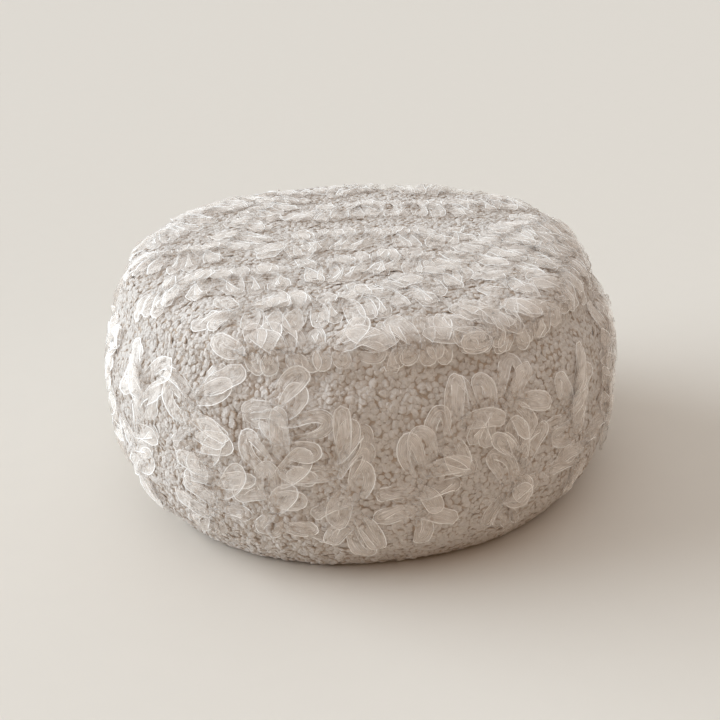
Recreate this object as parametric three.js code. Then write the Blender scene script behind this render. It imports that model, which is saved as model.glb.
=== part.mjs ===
// A round floor cushion of curly fleece with rows of sheer ribbon petals sewn over it.
// Millimetres, +Z up. The origin is on the flat base, at its middle, and -Y is the front.
import * as THREE from 'three';
import { mergeVertices } from 'three/addons/utils/BufferGeometryUtils.js';

// Driving sizes of the filled body.
const PLAN_RADIUS = 221;
const EDGE_HEIGHT = 193;
const CROWN = 8;
const SHOULDER_IN = 28;
const SHOULDER_DOWN = 73;
const FOOT_IN = 36;
const FOOT_UP = 44;
const WAIST_IN = 2.4;
const TOP_SHIFT = { x: -3.7, y: -2.2 };

// The curves of the shoulder and the foot are superellipses: 2 is an ellipse, less is slacker.
const SHOULDER_POWER = 1.69;
const FOOT_POWER = 1.6;

// How the plan departs from a circle: each pattern of lobes swells by a share of the radius.
const PLAN_LOBES = [
  { lobes: 3, swell: 0.012, toward: 22 },
  { lobes: 4, swell: 0.015, toward: 48 },
];

// Soft unevenness of the filling: waves round the cushion and along its side.
const FILLING_WAVES = [
  { around: 5, along: 210, height: 1.3, turn: 30 },
  { around: 8, along: 150, height: 0.9, turn: 115 },
];

// Seams that draw the cloth in: the angle on the shoulder's or foot's curve, and the depth.
const RIM_SEAM = { at: 45, depth: 5, deeperInFront: 2, width: 6 };
const BASE_SEAM = { at: 32, depth: 3, width: 5 };

// Where the rings of the body lie: shares of a straight stretch, and angles on a curve.
const AROUND_STEPS = 60;
const BASE_SHARES = [0, 0.5, 0.8];
const FOOT_ANGLES = [0, 16, 32, 48, 64, 79];
const SIDE_SHARES = [0, 0.25, 0.5, 0.75];
const SHOULDER_ANGLES = [0, 14, 27, 37, 45, 53, 63, 76];
const TOP_SHARES = [1, 0.93, 0.82, 0.64, 0.43, 0.2, 0];

// Sizes of the ribbon rows. A petal's root takes one step of the stitch line.
const ROOT_STEP = 13;
const STRIP_WIDTH = 5;
const STRIP_THICK = 1.4;
const STRIP_LIFT = 0.9;
const PETAL_LENGTH = 29;
const PETAL_WIDTH = 20;
const SHORTEST_PETAL = 8;
const PETAL_GAP = 1.6;
const ROW_GAP = 2.6;
const LOWEST_TIP = 18;
const LENGTH_VARIES = 0.07;
const FAN_DEGREES = 10;
const TILT_DEGREES = 9;
// Each section of a petal: how far along, its share of the width, and its underside over the cloth.
const PETAL_SECTIONS = [
  { along: 0.42, width: 0.92, lift: 3.2, thick: 2.2 },
  { along: 0.78, width: 1.0, lift: 3.8, thick: 2.2 },
  { along: 1.0, width: 0.5, lift: 2.2, thick: 1.4 },
];

// How finely paths are followed: points on a stitch line, and the step of a walk over the cloth.
const PATH_POINTS = 60;
const SIDE_PATH_STEPS = 12;
const WALK_STEP = 5;
const LENGTH_TRIM = 1.5;
const MERGE_DISTANCE = 1e-4;

// Stitch lines on the top panel: the four points of a Bezier curve in plan.
const TOP_ROWS = [
  { name: 'row_front_left', start: [-88, -200], leave: [-50, -212], arrive: [-30, -198], end: [4, -199] },
  { name: 'row_front', start: [20, -207], leave: [140, -196], arrive: [88, -76], end: [174, -8] },
  { name: 'row_rim_right', start: [100, -188], leave: [184, -152], arrive: [132, -84], end: [192, -14] },
  { name: 'row_second', start: [-96, -148], leave: [90, -168], arrive: [82, -40], end: [172, 38] },
  { name: 'row_third', start: [-158, -88], leave: [-96, -104], arrive: [-10, -66], end: [60, -70] },
  { name: 'row_middle', start: [-58, -30], leave: [-16, 4], arrive: [30, -28], end: [84, -10] },
  { name: 'row_left', start: [-170, -24], leave: [-62, -52], arrive: [-116, 50], end: [-56, 122] },
  { name: 'row_back', start: [-34, 52], leave: [24, 92], arrive: [70, 36], end: [146, 98] },
  { name: 'row_far_left', start: [-174, 36], leave: [-140, 62], arrive: [-130, 104], end: [-92, 144] },
  { name: 'row_far_back', start: [-18, 136], leave: [24, 160], arrive: [60, 120], end: [108, 154] },
];

// Stitch lines on the side band: each runs down from high to low at its bearing, wanders by
// the drift on the way, and comes in along the rim over the hook. Angles in degrees.
const SIDE_ROWS = [
  { name: 'side_left', bearing: 219, high: 150, low: 58, drift: 3, hook: 0 },
  { name: 'side_front_left', bearing: 238, high: 158, low: 48, drift: -3, hook: 0 },
  { name: 'side_front_a', bearing: 254, high: 156, low: 50, drift: 2, hook: 0 },
  { name: 'side_front_b', bearing: 267, high: 118, low: 56, drift: -1.5, hook: 0 },
  { name: 'side_front_c', bearing: 280, high: 140, low: 58, drift: 0, hook: 22 },
  { name: 'side_front_right', bearing: 300, high: 98, low: 46, drift: 2, hook: 0 },
  { name: 'side_right_a', bearing: 318, high: 128, low: 54, drift: -3, hook: 0 },
  { name: 'side_right_b', bearing: 338, high: 146, low: 54, drift: 3, hook: 0 },
  { name: 'side_right_c', bearing: 359, high: 150, low: 52, drift: -3, hook: 0 },
  { name: 'side_back_a', bearing: 21, high: 152, low: 54, drift: 3, hook: 0 },
  { name: 'side_back_b', bearing: 43, high: 142, low: 52, drift: 0, hook: 15 },
  { name: 'side_back_c', bearing: 74, high: 152, low: 50, drift: -3, hook: 0 },
  { name: 'side_back_d', bearing: 96, high: 156, low: 58, drift: 3, hook: 0 },
  { name: 'side_back_e', bearing: 117, high: 146, low: 52, drift: -2, hook: 0 },
  { name: 'side_back_f', bearing: 137, high: 144, low: 54, drift: 0, hook: 15 },
  { name: 'side_back_g', bearing: 170, high: 154, low: 54, drift: 3, hook: 0 },
  { name: 'side_back_h', bearing: 195, high: 150, low: 52, drift: -3, hook: 0 },
];

const radians = THREE.MathUtils.degToRad;
const FLAT_TOP = PLAN_RADIUS - SHOULDER_IN;
const FLAT_BASE = PLAN_RADIUS - FOOT_IN;

function planRadius(angle) {
  let swell = 1;
  for (const { lobes, swell: amount, toward } of PLAN_LOBES) {
    swell += amount * Math.cos(lobes * (angle - radians(toward)));
  }
  return PLAN_RADIUS * swell;
}

// A quarter of a superellipse: how far along and how far up the curve is at an angle.
function quarterCurve(degrees, power) {
  return {
    flat: Math.max(0, Math.cos(radians(degrees))) ** (2 / power),
    steep: Math.sin(radians(degrees)) ** (2 / power),
  };
}

// The half outline from the middle of the base to the middle of the top, at the mean radius.
function outlineStations() {
  const stations = [];
  for (const share of BASE_SHARES) {
    stations.push({ out: share * FLAT_BASE, height: 0, share });
  }
  for (const degrees of FOOT_ANGLES) {
    const { flat, steep } = quarterCurve(degrees, FOOT_POWER);
    stations.push({ out: FLAT_BASE + FOOT_IN * steep, height: FOOT_UP * (1 - flat), share: 1 });
  }
  const sideHeight = EDGE_HEIGHT - SHOULDER_DOWN - FOOT_UP;
  for (const share of SIDE_SHARES) {
    stations.push({ out: PLAN_RADIUS, height: FOOT_UP + share * sideHeight, share: 1 });
  }
  for (const degrees of SHOULDER_ANGLES) {
    const { flat, steep } = quarterCurve(degrees, SHOULDER_POWER);
    const height = EDGE_HEIGHT - SHOULDER_DOWN * (1 - steep);
    stations.push({ out: FLAT_TOP + SHOULDER_IN * flat, height, share: 1 });
  }
  for (const share of TOP_SHARES) {
    stations.push({ out: share * FLAT_TOP, height: EDGE_HEIGHT + CROWN * (1 - share * share), share });
  }
  let travelled = 0;
  let last = stations[0];
  for (const station of stations) {
    const up = Math.min(1, station.height / EDGE_HEIGHT);
    station.out -= WAIST_IN * Math.sin(Math.PI * up) * station.share;
    travelled += Math.hypot(station.out - last.out, station.height - last.height);
    station.travelled = travelled;
    last = station;
  }
  return stations;
}

const STATIONS = outlineStations();

// The outline at one bearing, out from the axis and up, without seams.
function meridian(angle) {
  const extra = planRadius(angle) - PLAN_RADIUS;
  return STATIONS.map(({ out, height, share, travelled }) => {
    let wave = 0;
    for (const { around, along, height: size, turn } of FILLING_WAVES) {
      const phase = around * angle + radians(turn);
      wave += size * Math.cos(phase) * Math.sin(2 * Math.PI * travelled / along);
    }
    const raised = height > 0 ? wave * share : 0;
    const top = height >= EDGE_HEIGHT;
    return {
      out: out + extra * share + (top ? 0 : raised),
      height: height + (top ? raised : 0),
    };
  });
}

// The outward direction at each point of a meridian.
function meridianNormals(points) {
  return points.map((point, i) => {
    const before = points[Math.max(0, i - 1)];
    const after = points[Math.min(points.length - 1, i + 1)];
    const run = after.out - before.out;
    const rise = after.height - before.height;
    const size = Math.hypot(run, rise);
    return { out: rise / size, height: -run / size };
  });
}

function seamDepth(station, angle) {
  const front = 0.5 - 0.5 * Math.sin(angle);
  const rim = RIM_SEAM.depth + RIM_SEAM.deeperInFront * front;
  const fromRim = (station.travelled - RIM_SEAM_TRAVEL) / RIM_SEAM.width;
  const fromBase = (station.travelled - BASE_SEAM_TRAVEL) / BASE_SEAM.width;
  return rim * Math.exp(-fromRim * fromRim) + BASE_SEAM.depth * Math.exp(-fromBase * fromBase);
}

const FIRST_FOOT = BASE_SHARES.length;
const FIRST_SHOULDER = FIRST_FOOT + FOOT_ANGLES.length + SIDE_SHARES.length;
const RIM_SEAM_TRAVEL = STATIONS[FIRST_SHOULDER + SHOULDER_ANGLES.indexOf(RIM_SEAM.at)].travelled;
const BASE_SEAM_TRAVEL = STATIONS[FIRST_FOOT + FOOT_ANGLES.indexOf(BASE_SEAM.at)].travelled;

// A point given by its bearing, its distance from the axis and its height, moved with the top's shift.
function leaned(angle, out, height) {
  const share = height / EDGE_HEIGHT - 0.5;
  return new THREE.Vector3(
    out * Math.cos(angle) + TOP_SHIFT.x * share,
    out * Math.sin(angle) + TOP_SHIFT.y * share,
    height,
  );
}

function withoutRepeats(geometry) {
  geometry.deleteAttribute('normal');
  geometry.deleteAttribute('uv');
  const merged = mergeVertices(geometry, MERGE_DISTANCE);
  const index = merged.getIndex();
  const kept = [];
  for (let i = 0; i < index.count; i += 3) {
    const corners = [index.getX(i), index.getX(i + 1), index.getX(i + 2)];
    if (new Set(corners).size === 3) kept.push(...corners);
  }
  merged.setIndex(kept);
  merged.computeVertexNormals();
  return merged;
}

// The filled body: a turned outline whose points are then moved to the uneven plan, with its seams.
function bodyGeometry() {
  const outline = STATIONS.map((station, i) => new THREE.Vector2(station.share === 0 ? 0 : station.out, i));
  const geometry = new THREE.LatheGeometry(outline, AROUND_STEPS);
  const position = geometry.getAttribute('position');
  for (let i = 0; i < position.count; i += 1) {
    const stationIndex = Math.round(position.getY(i));
    const angle = Math.atan2(position.getX(i), position.getZ(i));
    const points = meridian(angle);
    const normal = meridianNormals(points)[stationIndex];
    const depth = seamDepth(STATIONS[stationIndex], angle);
    const out = points[stationIndex].out - depth * normal.out;
    const height = Math.max(0, points[stationIndex].height - depth * normal.height);
    const moved = leaned(STATIONS[stationIndex].share === 0 ? 0 : angle, out, height);
    position.setXYZ(i, moved.x, moved.y, moved.z);
  }
  return withoutRepeats(geometry);
}

// The nearest point of the cushion to a given one, and the cloth's outward direction there.
function settle(point) {
  const share = point.z / EDGE_HEIGHT - 0.5;
  const x = point.x - TOP_SHIFT.x * share;
  const y = point.y - TOP_SHIFT.y * share;
  const angle = Math.atan2(y, x);
  const out = Math.hypot(x, y);
  const points = meridian(angle);
  const normals = meridianNormals(points);
  let best = null;
  for (let i = 0; i + 1 < points.length; i += 1) {
    const [a, b] = [points[i], points[i + 1]];
    const [run, rise] = [b.out - a.out, b.height - a.height];
    const along = ((out - a.out) * run + (point.z - a.height) * rise) / (run * run + rise * rise);
    const t = THREE.MathUtils.clamp(along, 0, 1);
    const foot = { out: a.out + run * t, height: a.height + rise * t };
    const distance = Math.hypot(out - foot.out, point.z - foot.height);
    if (best === null || distance < best.distance) {
      const normalOut = THREE.MathUtils.lerp(normals[i].out, normals[i + 1].out, t);
      const normalUp = THREE.MathUtils.lerp(normals[i].height, normals[i + 1].height, t);
      best = { distance, foot, normalOut, normalUp };
    }
  }
  const normal = new THREE.Vector3(
    best.normalOut * Math.cos(angle),
    best.normalOut * Math.sin(angle),
    best.normalUp,
  ).normalize();
  return { point: leaned(angle, best.foot.out, best.foot.height), normal };
}

// Walks over the cloth from a place in a direction, in short straight steps that each settle.
function walk(place, direction, distance) {
  const steps = Math.ceil(distance / WALK_STEP);
  let here = place;
  const heading = direction.clone();
  for (let i = 0; i < steps; i += 1) {
    here = settle(here.point.clone().addScaledVector(heading, distance / steps));
    heading.addScaledVector(here.normal, -heading.dot(here.normal)).normalize();
  }
  return { ...here, heading };
}

// A repeatable number from -1 to 1 that differs from petal to petal.
function wobble(seed, salt) {
  const value = Math.sin(seed * 12.9898 + salt * 78.233) * 43758.5453;
  return 2 * (value - Math.floor(value)) - 1;
}

function topPath({ start, leave, arrive, end }) {
  const corners = [start, leave, arrive, end].map(([x, y]) => new THREE.Vector3(x, y, EDGE_HEIGHT));
  return new THREE.CubicBezierCurve3(...corners);
}

function sidePath({ bearing, high, low, drift, hook }) {
  const points = [];
  for (let i = 0; i <= SIDE_PATH_STEPS; i += 1) {
    const t = i / SIDE_PATH_STEPS;
    const fall = hook === 0 ? t : t * t;
    const angle = radians(bearing + hook * (1 - t) ** 2 + drift * Math.sin(2 * Math.PI * t));
    points.push(leaned(angle, planRadius(angle), high + (low - high) * fall));
  }
  return new THREE.CatmullRomCurve3(points);
}

// How far the cloth stands over the straight line between two places on it.
function bulgeBetween(a, b) {
  const middle = a.point.clone().add(b.point).multiplyScalar(0.5);
  const cloth = settle(middle);
  return Math.max(0, cloth.point.clone().sub(middle).dot(cloth.normal));
}

// Places along a stitch line, one root step apart, each with its own forward, up and left directions,
// and the strip's lift there, which is greater where the cloth bends.
function rowPlaces(path) {
  const settled = path.getSpacedPoints(PATH_POINTS).map((point) => settle(point).point);
  const curve = new THREE.CatmullRomCurve3(settled);
  const steps = Math.max(2, Math.round(curve.getLength() / ROOT_STEP));
  const places = curve.getSpacedPoints(steps).map((point) => settle(point));
  places.forEach((place, i) => {
    const before = places[Math.max(0, i - 1)];
    const after = places[Math.min(steps, i + 1)];
    place.lift = STRIP_LIFT + Math.max(bulgeBetween(before, place), bulgeBetween(place, after));
    const forward = after.point.clone().sub(before.point);
    forward.addScaledVector(place.normal, -forward.dot(place.normal)).normalize();
    place.forward = forward;
    place.left = place.normal.clone().cross(forward);
  });
  return places;
}

// The middle line of one petal: where each of its sections lies on the cloth, and how far the cloth
// stands over the straight lines to the sections beside it.
function petalLine(row, step, length) {
  const [a, b] = [row.places[step], row.places[step + 1]];
  const side = step % 2 === 0 ? 1 : -1;
  const root = settle(a.point.clone().add(b.point).multiplyScalar(0.5));
  const fan = radians(FAN_DEGREES * wobble(row.seed + step, 1));
  const direction = a.left.clone().add(b.left).multiplyScalar(side).normalize();
  direction.applyAxisAngle(root.normal, fan);
  const line = PETAL_SECTIONS.map((section) => {
    const place = walk(root, direction, STRIP_WIDTH / 2 + length * section.along);
    const across = place.heading.clone().cross(place.normal).multiplyScalar(side).normalize();
    return { ...place, across };
  });
  line.forEach((place, i) => {
    const after = line[Math.min(i + 1, line.length - 1)];
    place.rise = Math.max(bulgeBetween(line[i - 1] ?? root, place), bulgeBetween(place, after));
  });
  return line;
}

// A petal stops halfway to the nearest other stitch line, and is left out where little room is left.
function fittedLength(row, step, otherPoints) {
  const wanted = PETAL_LENGTH * (1 - LENGTH_VARIES + LENGTH_VARIES * wobble(row.seed + step, 2));
  for (let length = wanted; length >= SHORTEST_PETAL; length -= LENGTH_TRIM) {
    const line = petalLine(row, step, length);
    const tip = line[line.length - 1].point;
    const room = Math.min(...otherPoints.map((point) => point.distanceTo(tip)));
    if (room > length + STRIP_WIDTH / 2 + ROW_GAP && tip.z > LOWEST_TIP) return length;
  }
  return 0;
}

// The four corners of each section of a petal, narrowed where its neighbours crowd it.
function petalRings(row, petal) {
  const neighbours = row.petals.filter((other) => Math.abs(other.step - petal.step) === 2);
  const tilt = radians(TILT_DEGREES * wobble(row.seed + petal.step, 3));
  return petal.line.map((place, i) => {
    const { width, lift, thick } = PETAL_SECTIONS[i];
    const room = neighbours.map((other) => other.line[i].point.distanceTo(place.point) - PETAL_GAP);
    const half = Math.min(PETAL_WIDTH * width, ...room) / 2;
    const twist = tilt * Math.sin(Math.PI * (i + 1) / (PETAL_SECTIONS.length + 1));
    const across = place.across.clone().applyAxisAngle(place.heading, twist);
    const low = place.point.clone().addScaledVector(place.normal, lift + place.rise);
    const high = low.clone().addScaledVector(place.normal, thick);
    return [
      low.clone().addScaledVector(across, -half),
      high.clone().addScaledVector(across, -half),
      high.clone().addScaledVector(across, half),
      low.clone().addScaledVector(across, half),
    ];
  });
}

// Collects four-sided faces as triangles.
class FaceList {
  constructor() {
    this.coordinates = [];
  }

  quad(a, b, c, d) {
    for (const corner of [a, b, c, a, c, d]) this.coordinates.push(corner.x, corner.y, corner.z);
  }

  // Grows a four-sided tube out of a quad, through each ring, and closes it at the last one.
  tube(root, rings) {
    let last = root;
    for (const ring of rings) {
      for (let i = 0; i < 4; i += 1) {
        const next = (i + 1) % 4;
        this.quad(last[i], last[next], ring[next], ring[i]);
      }
      last = ring;
    }
    this.quad(...last);
  }

  geometry() {
    const geometry = new THREE.BufferGeometry();
    geometry.setAttribute('position', new THREE.Float32BufferAttribute(this.coordinates, 3));
    const merged = mergeVertices(geometry, MERGE_DISTANCE);
    merged.computeVertexNormals();
    return merged;
  }
}

// One ribbon row: a narrow backing strip along the stitch line, whose side faces grow into petals.
function rowGeometry(row) {
  const faces = new FaceList();
  const stripCorners = row.places.map(({ point, normal, left, lift }) => {
    const low = point.clone().addScaledVector(normal, lift);
    const high = low.clone().addScaledVector(normal, STRIP_THICK);
    return {
      leftLow: low.clone().addScaledVector(left, STRIP_WIDTH / 2),
      leftHigh: high.clone().addScaledVector(left, STRIP_WIDTH / 2),
      rightLow: low.clone().addScaledVector(left, -STRIP_WIDTH / 2),
      rightHigh: high.clone().addScaledVector(left, -STRIP_WIDTH / 2),
    };
  });
  const first = stripCorners[0];
  const last = stripCorners[stripCorners.length - 1];
  faces.quad(first.rightLow, first.rightHigh, first.leftHigh, first.leftLow);
  faces.quad(last.rightLow, last.leftLow, last.leftHigh, last.rightHigh);
  for (let step = 0; step + 1 < stripCorners.length; step += 1) {
    const [a, b] = [stripCorners[step], stripCorners[step + 1]];
    faces.quad(a.rightHigh, b.rightHigh, b.leftHigh, a.leftHigh);
    faces.quad(a.leftLow, b.leftLow, b.rightLow, a.rightLow);
    const leftSide = [a.leftLow, a.leftHigh, b.leftHigh, b.leftLow];
    const rightSide = [b.rightLow, b.rightHigh, a.rightHigh, a.rightLow];
    const petal = row.petals.find((candidate) => candidate.step === step);
    const rings = petal ? petalRings(row, petal) : [];
    const growsLeft = step % 2 === 0;
    const turned = rings.map(([p, q, r, s]) => [s, r, q, p]);
    faces.tube(leftSide, growsLeft ? rings : []);
    faces.tube(rightSide, growsLeft ? [] : turned);
  }
  return faces.geometry();
}

const fleece = new THREE.MeshStandardMaterial({ color: '#cfc4b7', roughness: 0.97, metalness: 0 });
const ribbon = new THREE.MeshStandardMaterial({ color: '#e6e0d8', roughness: 0.6, metalness: 0 });

const rows = [
  ...TOP_ROWS.map((row) => ({ name: row.name, path: topPath(row) })),
  ...SIDE_ROWS.map((row) => ({ name: row.name, path: sidePath(row) })),
];
const SEED_STEP = 40;
rows.forEach((row, i) => {
  row.seed = SEED_STEP * (i + 1);
  row.places = rowPlaces(row.path);
});
for (const row of rows) {
  const otherPlaces = rows.filter((other) => other !== row).flatMap((other) => other.places);
  const otherPoints = otherPlaces.map(({ point }) => point);
  row.petals = [];
  for (let step = 0; step + 1 < row.places.length; step += 1) {
    const length = fittedLength(row, step, otherPoints);
    if (length > 0) row.petals.push({ step, line: petalLine(row, step, length) });
  }
}

const cushion = new THREE.Group();
const body = new THREE.Mesh(bodyGeometry(), fleece);
body.name = 'cushion_body';
cushion.add(body);
for (const row of rows) {
  const mesh = new THREE.Mesh(rowGeometry(row), ribbon);
  mesh.name = row.name;
  cushion.add(mesh);
}

export default cushion;
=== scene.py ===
"""A round floor cushion of curly fleece, with rows of gathered sheer ribbon sewn over it.

Everything is in metres. The origin is on the flat base, at its middle, +Z is up and -Y is the front.
"""

import math
import random
from collections import namedtuple

import bmesh
import bpy
from bpy.props import FloatProperty, FloatVectorProperty, IntProperty, PointerProperty
from mathutils import Matrix, Quaternion, Vector, noise
from mathutils.bvhtree import BVHTree


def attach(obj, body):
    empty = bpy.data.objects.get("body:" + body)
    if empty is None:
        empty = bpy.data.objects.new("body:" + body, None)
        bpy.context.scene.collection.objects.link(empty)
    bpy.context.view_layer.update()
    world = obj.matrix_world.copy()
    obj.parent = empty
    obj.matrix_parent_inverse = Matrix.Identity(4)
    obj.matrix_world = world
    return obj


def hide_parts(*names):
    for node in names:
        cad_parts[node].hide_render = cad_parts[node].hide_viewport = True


bl_info = {
    "name": "Fleece Floor Cushion",
    "version": (1, 0, 0),
    "blender": (4, 5, 0),
    "location": "View3D > Sidebar > Cushion",
    "description": "Builds a filled fleece cushion with gathered ribbon rows around its packed frame",
    "category": "Add Mesh",
}

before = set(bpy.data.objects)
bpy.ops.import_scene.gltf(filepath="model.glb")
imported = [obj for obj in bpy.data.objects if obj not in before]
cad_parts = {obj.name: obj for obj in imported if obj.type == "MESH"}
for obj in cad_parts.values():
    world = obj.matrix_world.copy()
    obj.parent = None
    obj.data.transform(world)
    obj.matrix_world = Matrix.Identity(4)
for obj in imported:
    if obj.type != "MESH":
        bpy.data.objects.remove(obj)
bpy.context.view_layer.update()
BODY_NODE = "cushion_body"

# Facts of the cushion's form that the seams and the rows of ribbon are laid out from.
EDGE_HEIGHT = 0.193
PLAN_RADIUS = 0.221
TOP_SHIFT = Vector((-0.0037, -0.0022, 0))

# Where the two sewn seams run: distance from the axis and height on the mean outline.
RIM_SEAM = Vector((0.2106, 0.1684))
FOOT_SEAM = Vector((0.2010, 0.0082))

# Stitch lines on the top panel: the four points of a Bezier curve in plan.
TOP_ROWS = (
    {"node": "row_front_left", "points": ((-.088, -.200), (-.050, -.212), (-.030, -.198), (.004, -.199))},
    {"node": "row_front", "points": ((.020, -.207), (.140, -.196), (.088, -.076), (.174, -.008))},
    {"node": "row_rim_right", "points": ((.100, -.188), (.184, -.152), (.132, -.084), (.192, -.014))},
    {"node": "row_second", "points": ((-.096, -.148), (.090, -.168), (.082, -.040), (.172, .038))},
    {"node": "row_third", "points": ((-.158, -.088), (-.096, -.104), (-.010, -.066), (.060, -.070))},
    {"node": "row_middle", "points": ((-.058, -.030), (-.016, .004), (.030, -.028), (.084, -.010))},
    {"node": "row_left", "points": ((-.170, -.024), (-.062, -.052), (-.116, .050), (-.056, .122))},
    {"node": "row_back", "points": ((-.034, .052), (.024, .092), (.070, .036), (.146, .098))},
    {"node": "row_far_left", "points": ((-.174, .036), (-.140, .062), (-.130, .104), (-.092, .144))},
    {"node": "row_far_back", "points": ((-.018, .136), (.024, .160), (.060, .120), (.108, .154))},
)

# Stitch lines on the side band: bearing and sideways wander in degrees, ends in metres.
SIDE_ROWS = (
    {"node": "side_left", "bearing": 219, "high": .150, "low": .058, "drift": 3, "hook": 0},
    {"node": "side_front_left", "bearing": 238, "high": .158, "low": .048, "drift": -3, "hook": 0},
    {"node": "side_front_a", "bearing": 254, "high": .156, "low": .050, "drift": 2, "hook": 0},
    {"node": "side_front_b", "bearing": 267, "high": .118, "low": .056, "drift": -1.5, "hook": 0},
    {"node": "side_front_c", "bearing": 280, "high": .140, "low": .058, "drift": 0, "hook": 22},
    {"node": "side_front_right", "bearing": 300, "high": .098, "low": .046, "drift": 2, "hook": 0},
    {"node": "side_right_a", "bearing": 318, "high": .128, "low": .054, "drift": -3, "hook": 0},
    {"node": "side_right_b", "bearing": 338, "high": .146, "low": .054, "drift": 3, "hook": 0},
    {"node": "side_right_c", "bearing": 359, "high": .150, "low": .052, "drift": -3, "hook": 0},
    {"node": "side_back_a", "bearing": 21, "high": .152, "low": .054, "drift": 3, "hook": 0},
    {"node": "side_back_b", "bearing": 43, "high": .142, "low": .052, "drift": 0, "hook": 15},
    {"node": "side_back_c", "bearing": 74, "high": .152, "low": .050, "drift": -3, "hook": 0},
    {"node": "side_back_d", "bearing": 96, "high": .156, "low": .058, "drift": 3, "hook": 0},
    {"node": "side_back_e", "bearing": 117, "high": .146, "low": .052, "drift": -2, "hook": 0},
    {"node": "side_back_f", "bearing": 137, "high": .144, "low": .054, "drift": 0, "hook": 15},
    {"node": "side_back_g", "bearing": 170, "high": .154, "low": .054, "drift": 3, "hook": 0},
    {"node": "side_back_h", "bearing": 195, "high": .150, "low": .052, "drift": -3, "hook": 0},
)

# The filling's simulation: how finely it steps, and the height under which the cloth stays on the floor.
CLOTH_QUALITY = 5
HELD_BELOW = .0015

# A curl starts as a sphere of radius 1. It is cut open below, made lumpy and stretched. The shapes take
# their lumps from places that are far apart in the same noise, which is seeded.
CURL_SHAPES = 6
CURL_CUT = .1
LUMP_SCALE = 1.2
LUMP_DEPTH = .34
CURL_STRETCH = (1.15, .92, .42)
LUMPS_APART = 7.3
LUMP_SEED = 7

# The scatter of the curls: sizes against the mean radius, tip and turn in radians, and its limits.
CURL_SIZES = (.76, 1.2)
CURL_TURN = (.3, .3, 3.14)
MOST_CURLS_TO_A_SQUARE_METRE = 400000.0
CURL_SEED = 11
NO_CURLS_BELOW = .003
CURLS_ABOVE_FLOOR = .0003
SECTOR_DEGREES = 120

# What each loop is drawn from: shares of its mean size, slopes in degrees and the depth of its ruffles.
REACH_RANGE = (.74, 1.18)
SPREAD_RANGE = (.72, 1.22)
SKEW_SPREAD = .17
MOUND_SLANT = (12, 26)
FLAT_SLANT = (3, 16)
LEAN_RANGE = (-.07, .07)
TIP_RANGE = (.5, 1.3)
RUFFLE_RANGE = (.0004, .0014)
RUFFLES = 4
ROW_SEED = 100

# The curve of a loop: its parts, its narrowest belly, and how soon it opens from its stitch to its tip.
LOOP_STEPS = 18
SPINE_PARTS = 4
STITCH_SHARE = .35
INNER_SHARE = .36
LEAST_BELLY = .0005
OPENING = .4
ROOT_WIDTH = .55
TIP_DROOP = .3

# A loop keeps its edge off the cloth, and its inner edge doesn't fold over itself in a tight bend.
EDGE_CLEAR = .85
LEAST_LIFT = .4
BEND_LIMIT = .9
FLATTEST = .2

# Where a loop of the top would reach over the rim it is shortened to one of these shares.
RIM_CLEAR = .004
RIM_SHARES = (1.0, .85, .7, .55)
LEAST_REACH = .45
RIM_NARROWING = .6

# Stitch lines: how finely they are laid out and walked, and the loops that turn past their ends.
LINE_PARTS = 80
WALK_STEP = .006
LEAST_LOOPS = 4
END_LOOPS = 4

# Places across the ribbon from its inner edge to its outer one, and how much it cups between them.
ACROSS = (-1.0, -.78, -.3, .3, .78, 1.0)
CUP = .0008

# The room: where the light comes from, how softly and in which colour, and the small shift of the lens.
SUNS = (
    {"name": "window", "toward": (-.88, .18, .22), "spread": 60, "colour": (.78, .90, 1.0)},
    {"name": "overhead", "toward": (.12, .08, 1.0), "spread": 100, "colour": (.875, .95, 1.0)},
    {"name": "fill", "toward": (.35, -.75, .55), "spread": 90, "colour": (1.0, .52, .20)},
)
SKY_COLOUR = (1.0, .80, .61)
LENS_SHIFT = (.0007, -.0130)
FLOOR_RADIUS = 14

Panel = namedtuple("Panel", "size stand feather slant rimmed")
Station = namedtuple("Station", "middle across web half inner wave open soft")


class FillingSettings(bpy.types.PropertyGroup):
    """Sizes of the filled body."""

    voxel: FloatProperty(
        name="Remesh size", description="Size of the cloth's mesh", default=.0075, unit="LENGTH")
    inset: FloatProperty(
        name="Cut smaller by", description="How much smaller the cloth is cut than it swells to",
        default=.003, unit="LENGTH")
    pressure: FloatProperty(
        name="Pressure", description="How hard the filling pushes", default=4)
    frames: IntProperty(
        name="Frames", description="How long the filling settles", default=20)
    swell: FloatProperty(
        name="Most swelling", description="How far a point may move", default=.006, unit="LENGTH")
    rim_depth: FloatProperty(
        name="Rim seam", description="How deep the rim seam is drawn in", default=.0075, unit="LENGTH")
    foot_depth: FloatProperty(
        name="Foot seam", description="How deep the foot seam is drawn in", default=.002, unit="LENGTH")
    seam_width: FloatProperty(
        name="Seam width", description="How wide the cloth dips at a seam", default=.006, unit="LENGTH")
    parting: FloatProperty(
        name="Parting", description="Half the width of the bare line along the rim seam",
        default=.0008, unit="LENGTH")
    fill: FloatProperty(
        name="Fill", description="From 0, slack, to 1, tight", default=.85, subtype="FACTOR")


class CurlSettings(bpy.types.PropertyGroup):
    """Sizes and colours of the fleece's curls, with the painted shade between them."""

    spacing: FloatProperty(
        name="Spacing", description="Least distance between two curls", default=.0036, unit="LENGTH")
    radius: FloatProperty(
        name="Radius", description="Half the width of a curl", default=.0037, unit="LENGTH")
    sink: FloatProperty(
        name="Sink", description="How deep a curl sits in the pile", default=.0007, unit="LENGTH")
    crest: FloatVectorProperty(
        name="Crest", description="Colour of the tops of the curls", default=(.65, .583, .53),
        subtype="COLOR")
    # The crevice colour is painted shade, where the curls meet and between the ground's lumps.
    crevice_shade: FloatVectorProperty(
        name="Crevice", description="Colour between the curls", default=(.44, .335, .255),
        subtype="COLOR")


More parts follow.
